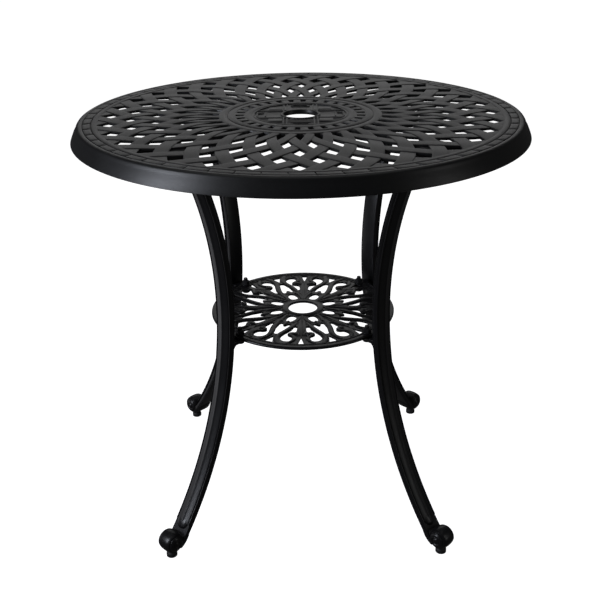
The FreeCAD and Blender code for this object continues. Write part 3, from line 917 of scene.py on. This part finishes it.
def legReach(height, offset=0.0):
    # Distance of the bowed leg from the table's axis at a height.
    arc = leg["upperArc"] if height > leg["waistHeight"] else leg["lowerArc"]
    rise = height - leg["waistHeight"]
    return leg["waistRadius"] + arc - math.sqrt((arc - offset) ** 2 - rise ** 2)


def addWeb(name, outline, thickness, bevel=1.0):
    # A flat web in the leg's own plane, from its (reach, height) outline.
    points = [(reach, -thickness / 2, height) for reach, height in outline]
    piece = drawWire(name, [*points, points[0]])
    selectAll()
    bpy.ops.mesh.remove_doubles(threshold=mergeGap)
    closeWire()
    selectAll()
    bpy.ops.mesh.extrude_region_move(TRANSFORM_OT_translate={"value": (0, thickness * mm, 0)})
    selectAll()
    bpy.ops.mesh.normals_make_consistent(inside=False)
    endEdit()
    return roundEdges(piece, bevel, 2)


def arcPoints(start, end, bulge):
    # A gentle curve between two points, pulled aside at its middle.
    steps = 8
    first, last = Vector(start), Vector(end)
    middle = (first + last) / 2 + Vector(bulge)
    points = []
    for number in range(steps + 1):
        share = number / steps
        points.append(tuple(first * (1 - share) ** 2 + middle * 2 * share * (1 - share)
                            + last * share ** 2))
    return points


def makeScroll():
    # The rolled foot, turned about its own axle, with a volute on both sides.
    reach, height = leg["footRadius"], leg["footHeight"]
    radius, half = leg["scrollRadius"], leg["scrollHalf"]
    outline = [(away, depth - half) for away, depth in leg["scrollFace"]]
    outline += [(radius, 0.0), *((away, -depth) for away, depth in reversed(outline))]
    drum = drawWire("scroll", [(x, 0, y) for x, y in outline])
    selectAll()
    bpy.ops.mesh.spin(steps=48, angle=2 * math.pi, center=(0, 0, 0), axis=(0, 0, 1))
    endEdit(merge=latheGap)
    stand = Matrix.Translation((reach * mm, 0, height * mm)) @ Matrix.Rotation(math.pi / 2, 4, "X")
    drum.data.transform(stand)
    pieces = [drum]
    for side in (-1, 1):
        points = []
        for number in range(leg["volutePoints"]):
            turn = math.radians(leg["voluteStart"] - number * leg["voluteTurn"])
            away = leg["voluteReach"] - number * leg["voluteCloser"]
            beyond = max(0, (away - leg["voluteFlat"]) / (leg["voluteReach"] - leg["voluteFlat"]))
            lift = (half - 0.2 - leg["voluteSink"] * beyond ** 1.6) * side
            points.append((reach + away * math.cos(turn), lift, height + away * math.sin(turn)))
        taper = [0.5 + 0.5 * min(1, number / 4) for number in range(leg["volutePoints"])]
        pieces.append(addBead("volute", points, leg["voluteRadius"], taper))
    return pieces


def makeRibTongue():
    # The rib's rounded lower end, just above the scroll.
    height = leg["ribEnd"] + 1.5
    reach = legReach(height, leg["plainFace"])
    tilt = math.asin((leg["waistHeight"] - height) / leg["lowerArc"])
    deselectAll()
    bpy.ops.mesh.primitive_uv_sphere_add(segments=32, ring_count=16, radius=1)
    tongue = bpy.context.object
    size = Vector(leg["tongueSize"]) * mm
    tongue.data.transform(Matrix.Translation((reach * mm, 0, height * mm))
                          @ Matrix.Rotation(-tilt, 4, "Y") @ Matrix.Diagonal((*size, 1)))
    return tongue


def makeLeg():
    waist = leg["waistHeight"]
    ribEnd = leg["ribEnd"] - waist
    upper = spinSection("upper", leg["upperArc"], leg["topHeight"] - waist)
    lower = spinSection("lower", leg["lowerArc"], ribEnd)
    ankle = spinSection("ankle", leg["lowerArc"], leg["footHeight"] - waist, ribEnd,
                        leg["plainFace"])
    half = leg["seatWidth"] / 2
    seat = addBlock("seat", (boss["inner"], -half, leg["seatLow"]),
                    (boss["outer"], half, leg["seatHigh"]), 1.6, 3)
    webLow = leg["seatLow"] - leg["webHeight"]
    webEdge = arcPoints((legReach(webLow, 6), webLow), (boss["outer"] - 3, leg["seatLow"] + 1),
                        leg["seatBulge"])
    seatWeb = addWeb("seat_web", [(legReach(leg["seatLow"] - 4), leg["seatLow"] + 1),
                                  (legReach(webLow), webLow), *webEdge], leg["webThickness"])
    lugHalf = leg["lugHalf"]
    lug = addBlock("lug", (leg["boltRadius"], -lugHalf, leg["lugLow"]),
                   (legReach(leg["lugTop"]), lugHalf, leg["lugTop"]), 1.0)
    lugEnd = addDrum("lug_end", lugHalf, leg["lugTop"] - leg["lugLow"], 48, 1.0)
    lugEnd.data.transform(Matrix.Translation((leg["boltRadius"] * mm, 0,
                                              (leg["lugTop"] + leg["lugLow"]) / 2 * mm)))
    gussetLow = leg["lugLow"] - leg["gussetDrop"]
    tip = leg["boltRadius"] + 9
    edge = arcPoints((tip, leg["lugLow"] - 2), (legReach(gussetLow, -6), gussetLow),
                     leg["gussetBulge"])
    lugInside = leg["lugLow"] + 1
    gusset = addWeb("gusset", [(legReach(leg["lugLow"]), lugInside), (tip, lugInside), *edge,
                               (legReach(gussetLow), gussetLow)], leg["gussetThickness"])
    heelEdge = arcPoints(leg["heelStart"], leg["heelEnd"], leg["heelBulge"])
    heelReach, heelHeight = leg["heelStart"]
    heel = addWeb("heel", [*heelEdge, (leg["footRadius"], leg["footHeight"]),
                           (heelReach + 12, heelHeight)], leg["heelHalf"] * 2, 4.0)
    pieces = [upper, lower, ankle, heel, seat, seatWeb, lug, lugEnd, gusset, makeRibTongue(),
              *makeScroll()]
    return smooth(joinPieces(pieces, "leg"), 38)


pattern = makeLeg()
for corner, angle in legAngles.items():
    copy = copyPiece(pattern, turnAbout(angle))
    copy.name = f"dressed_leg_{corner}"
    dress(copy, legCoat, "frame", f"leg_{corner}")
bpy.data.objects.remove(pattern)
print("legs ready")


# Shelf: eight palmettes with C-scrolls between a hub ring and an outer ring

shelf = {
    "top": 368.2,
    "low": 363.7,
    "radius": 166.0,
    "rimInner": 149.6,
    "hole": 26.5,
    "hubOuter": 38.0,
    "fieldDrop": 1.0,
    "turn": -1.9,
    "palmettes": 8,
    # Openings as (radius, angle from the palmette's middle); gaps are measured from 22.5 degrees
    "gapTeardrop": [(41, -7.0), (47, -9.5), (55, -8.0), (64, -2.5), (64, 2.5), (55, 8.0), (47, 9.5),
                    (41, 7.0)],
    "gapHeart": [(74, -6.0), (86, -6.6), (102, -4.6), (117, 0), (102, 4.6), (86, 6.6), (74, 6.0),
                 (82, 0)],
    "gapTriangle": [(147.6, -3.2), (147.6, 3.2), (126, 0)],
    "rimTriangle": [(147.6, -2.2), (147.6, 2.2), (123, 0)],
    "hook": [(81, 7.6), (92, 10.4), (104, 13.3), (116, 15.8), (128, 16.2), (136, 14.6), (140, 11.4),
             (137, 7.9), (122, 7.6), (118, 10.6), (112, 12.2), (107, 10.4), (103, 6.0), (94, 5.2)],
    # Raised work: lines as (radius, angle from the palmette's middle), and the share of its width
    # that a bead has at each point
    "leaf": {"radii": (36, 48, 60, 74, 88, 100, 110, 119), "width": 8.2, "flat": 0.16,
             "taper": (0.5, 0.42, 0.5, 0.8, 1.0, 0.86, 0.5, 0.1)},
    "midrib": {"lift": 0.9, "width": 1.5, "flat": 0.7, "taper": (1, 1, 1, 1, 0.9, 0.8, 0.6, 0.3)},
    "tip": {"radii": (62, 67, 73, 81), "width": 4.4, "flat": 0.3, "taper": (0.4, 1, 0.8, 0.1)},
    "beads": {
        "arm": {"line": [(64, 7.6), (76, 10.2), (88, 12.6), (102, 15.4), (116, 18.6), (130, 19.0),
                         (142, 17.4), (151, 15.4)],
                "width": 5.3, "flat": 0.32, "taper": (0.5, 0.8, 1, 1, 1, 0.9, 0.9, 0.8)},
        "curl": {"line": [(110, 3.4), (107, 7.2), (110, 10.2), (115, 10.2), (119, 7.8), (124, 5.6),
                          (132, 5.0), (140, 6.2), (149, 9.4)],
                 "width": 4.1, "flat": 0.4, "taper": (0.7, 0.9, 1, 1, 1, 1, 1, 1, 0.8)},
        "frond": {"line": [(40, 4.5), (50, 6.0), (60, 8.5), (68, 12.5)],
                  "width": 4.0, "flat": 0.36, "taper": (0.6, 0.9, 1, 0.9)},
    },
    "button": (111.5, 7.0),
    "buttonSize": (6.0, 6.0, 2.6),
}


def makeShelfPlate():
    loops = [(circleLoop(shelf["radius"] - 3, 96), True),
             (circleLoop(shelf["hole"] + 1, 48), True)]
    for number in range(shelf["palmettes"]):
        middle = shelf["turn"] + number * 360 / shelf["palmettes"]
        gap = middle + 180 / shelf["palmettes"]
        for key in ("gapTeardrop", "gapHeart"):
            loops.append(([onCircle(radius, gap + angle) for radius, angle in shelf[key]], True))
        for key, start in (("gapTriangle", gap), ("rimTriangle", middle)):
            corners = [onCircle(radius, start + angle) for radius, angle in shelf[key]]
            loops.append((corners, False))
        for side in (-1, 1):
            loops.append(([onCircle(radius, middle + angle * side)
                           for radius, angle in shelf["hook"]], True))
    return castPlate("shelf_plate", loops, shelf["low"] + 0.2, shelf["top"] - shelf["fieldDrop"],
                     0.6)


def makeShelfRings():
    top = shelf["top"]
    low = shelf["low"]
    rim = shelf["radius"]
    inner = shelf["rimInner"]
    outer = lathe("shelf_rim", [
        (inner - 0.6, low + 0.6), (inner - 0.6, top - 1.3), (inner + 0.4, top - 0.5),
        (inner + 1.6, top), (inner + 3.4, top - 0.1), (inner + 4.4, top - 0.9),
        (inner + 5.6, top - 0.1), (rim - 2.2, top), (rim - 0.7, top - 0.5), (rim, top - 1.6),
        (rim, low + 1.2), (rim - 0.8, low + 0.3), (rim - 2, low), (inner + 0.6, low)], 192)
    middle = lathe("shelf_hub", [
        (shelf["hole"], low + 0.8), (shelf["hole"], top - 0.8), (shelf["hole"] + 0.8, top),
        (shelf["hubOuter"] - 1.4, top), (shelf["hubOuter"] - 0.4, top - 0.5),
        (shelf["hubOuter"], top - 1.4), (shelf["hubOuter"], low + 0.6),
        (shelf["hubOuter"] - 0.6, low), (shelf["hole"] + 0.8, low)], 96)
    return [outer, middle]


def makePalmette():
    floor = shelf["top"] - shelf["fieldDrop"] - 0.1
    leaf, midrib, tip = shelf["leaf"], shelf["midrib"], shelf["tip"]
    line = [(radius, 0, floor) for radius in leaf["radii"]]
    crest = [(radius, 0, floor + midrib["lift"]) for radius in leaf["radii"]]
    between = [(*onCircle(radius, 180 / shelf["palmettes"]), floor) for radius in tip["radii"]]
    pieces = [addBead("leaf", line, leaf["width"], leaf["taper"], leaf["flat"], floor, sides=4),
              addBead("midrib", crest, midrib["width"], midrib["taper"], midrib["flat"], floor),
              addBead("tip", between, tip["width"], tip["taper"], tip["flat"], floor)]
    for side in (-1, 1):
        for name, bead in shelf["beads"].items():
            line = [(*onCircle(radius, angle * side), floor) for radius, angle in bead["line"]]
            pieces.append(addBead(name, line, bead["width"], bead["taper"], bead["flat"], floor))
        deselectAll()
        bpy.ops.mesh.primitive_uv_sphere_add(segments=16, ring_count=8, radius=1)
        button = bpy.context.object
        radius, angle = shelf["button"]
        x, y = onCircle(radius, angle * side)
        size = Vector(shelf["buttonSize"]) * mm
        button.data.transform(Matrix.Translation((x * mm, y * mm, floor * mm))
                              @ Matrix.Diagonal((*size, 1)))
        pieces.append(button)
    return joinPieces(pieces, "palmette")


def makeShelf():
    plate = makeShelfPlate()
    palmettes = spreadRound(makePalmette(), shelf["palmettes"], "palmettes", start=shelf["turn"])
    return smooth(joinPieces([plate, *makeShelfRings(), palmettes], "dressed_shelf"), 40)


dress(makeShelf(), legCoat, "frame", "shelf")
print("shelf ready")


# Fasteners and levelling glides

bolt = {
    "flats": 13.0,
    "headHeight": 5.3,
    "shank": 4.0,
    "washer": 8.0,
    "spring": 6.8,
    "bore": 4.3,
    "washerThickness": 1.6,
    "springThickness": 2.0,
    "nutHeight": 6.5,
    "pitch": 1.25,
    "threadDepth": 0.5,
    "threadShares": (0.15, 0.45, 0.6, 0.9),  # foot, crest, crest and foot, as shares of the pitch
    "topSpread": 17.0,
    "topRadius": 278.0,
    "topLength": 20.6,
    "shelfLength": 24.6,
    "chamfer": 1.3,
    "turnedSteps": 44,  # not a multiple of six, so no corner of it meets a corner of the hexagon
    "slit": 1.0,
    "slitTilt": 0.3,
}


def makeRod(name, low, high):
    # A threaded rod, with the crest and root of every turn of its thread as rings.
    crest = bolt["shank"]
    root = crest - bolt["threadDepth"]
    pitch = bolt["pitch"]
    outline = [(0.0, low), (root, low)]
    for number in range(int((high - low) / pitch)):
        start = low + number * pitch
        for radius, share in zip((root, crest, crest, root), bolt["threadShares"]):
            outline.append((radius, start + pitch * share))
    return lathe(name, [*outline, (root, high), (0.0, high)], 24, closed=False)


def makeHex(name, low, high, bore=0.0):
    # A hexagon with its corners turned off, as on a forged head or nut.
    corner = bolt["flats"] / math.sqrt(3)
    prism = addDrum(name, corner, high - low, 6, 0)
    prism.data.transform(Matrix.Translation((0, 0, (low + high) / 2 * mm)))
    drum = lathe("turned", [(0, low), (corner - 0.9, low), (corner, low + 0.6),
                            (corner, high - bolt["chamfer"]), (corner - 2.2, high),
                            (corner - 4.5, high), (0, high)], bolt["turnedSteps"], closed=False)
    addModifier(prism, "BOOLEAN", object=drum, operation="INTERSECT", solver="EXACT")
    bpy.data.objects.remove(drum)
    if bore:
        cutter = addDrum("bore", bore, (high - low) * 3, 32, 0)
        cutter.data.transform(Matrix.Translation((0, 0, (low + high) / 2 * mm)))
        cutAway(prism, cutter)
    startEdit(prism)
    endEdit(merge=latheGap)
    return prism


def makeHexHead():
    head = makeHex("head", -bolt["headHeight"], 0)
    head.data.transform(Matrix.Rotation(math.pi, 4, "X") @ Matrix.Translation(
        (0, 0, bolt["headHeight"] * mm)))
    return head


def makeWasher(name, radius, low, high, split=False):
    inner = bolt["bore"]
    outline = [(inner, low + 0.2), (inner + 0.2, low), (radius - 0.3, low), (radius, low + 0.3),
               (radius, high - 0.3), (radius - 0.3, high), (inner + 0.2, high), (inner, high - 0.2)]
    ring = lathe(name, outline, 48)
    if split:
        half = bolt["slit"] / 2
        cutter = addBlock("slit", (inner - 1, -half, low - 1), (radius + 1, half, high + 1), 0)
        cutter.data.transform(Matrix.Rotation(bolt["slitTilt"], 4, "X"))
        cutAway(ring, cutter)
    return ring


def spreadBolts(piece, name, radius, sides, height):
    # One copy at each bolt's place on the four legs. sides are the distances from the leg's
    # middle line.
    copies = []
    for angle in legAngles.values():
        for side in sides:
            place = turnAbout(angle) @ Matrix.Translation((radius * mm, side * mm, height * mm))
            copies.append(copyPiece(piece, place))
    bpy.data.objects.remove(piece)
    joined = smooth(joinPieces(copies, f"dressed_{name}"), 30)
    dress(joined, blackSteel, "frame", name)


def makeFasteners():
    washer = bolt["washerThickness"]
    spring = bolt["springThickness"]
    underTop = (bolt["topRadius"], (-bolt["topSpread"], bolt["topSpread"]))
    onShelf = (leg["boltRadius"], (0,))
    seat = leg["seatLow"]
    topBolt = joinPieces([makeRod("rod", 0.0, bolt["topLength"]), makeHexHead()], "bolt")
    spreadBolts(topBolt, "top_bolts", *underTop, seat - washer - spring)
    topWasher = makeWasher("washer", bolt["washer"], 0, washer)
    spreadBolts(topWasher, "top_washers", *underTop, seat - washer)
    springWasher = makeWasher("spring", bolt["spring"], 0, spring, split=True)
    spreadBolts(springWasher, "top_spring_washers", *underTop, seat - washer - spring)
    shelfBolt = joinPieces([makeRod("rod", 0.0, bolt["shelfLength"]), makeHexHead()], "bolt")
    spreadBolts(shelfBolt, "shelf_bolts", *onShelf, leg["lugLow"])
    shelfWasher = makeWasher("washer", bolt["washer"], 0, washer)
    spreadBolts(shelfWasher, "shelf_washers", *onShelf, shelf["top"])
    nut = makeHex("nut", 0, bolt["nutHeight"], bore=bolt["shank"] - 0.2)
    spreadBolts(nut, "shelf_nuts", *onShelf, shelf["top"] + washer)


glide = {
    "padRadius": 9.5,
    "padHeight": 10.0,
    "studLow": 9.4,
    "studHigh": 32.0,
}


def makeGlides():
    radius = glide["padRadius"]
    height = glide["padHeight"]
    for corner, angle in legAngles.items():
        place = turnAbout(angle) @ Matrix.Translation((leg["footRadius"] * mm, 0, 0))
        foot = lathe("pad", [(0, 0.4), (radius - 2.2, 0.4), (radius - 1.8, 0), (radius - 0.6, 0),
                             (radius, 0.7), (radius, height - 4.2), (radius - 0.5, height - 2.6),
                             (radius - 1.8, height - 1.2), (radius - 3.4, height - 0.6),
                             (radius - 4.2, height), (0, height)], 48, closed=False)
        foot.data.transform(place)
        foot.name = f"dressed_pad_{corner}"
        dress(smooth(foot), nylon, f"glide_{corner}", f"glide_pad_{corner}")
        stud = makeRod(f"dressed_stud_{corner}", glide["studLow"], glide["studHigh"])
        stud.data.transform(place)
        dress(smooth(stud, 30), zincSteel, f"glide_{corner}", f"glide_stud_{corner}")


makeFasteners()
makeGlides()
print("fasteners and glides ready")
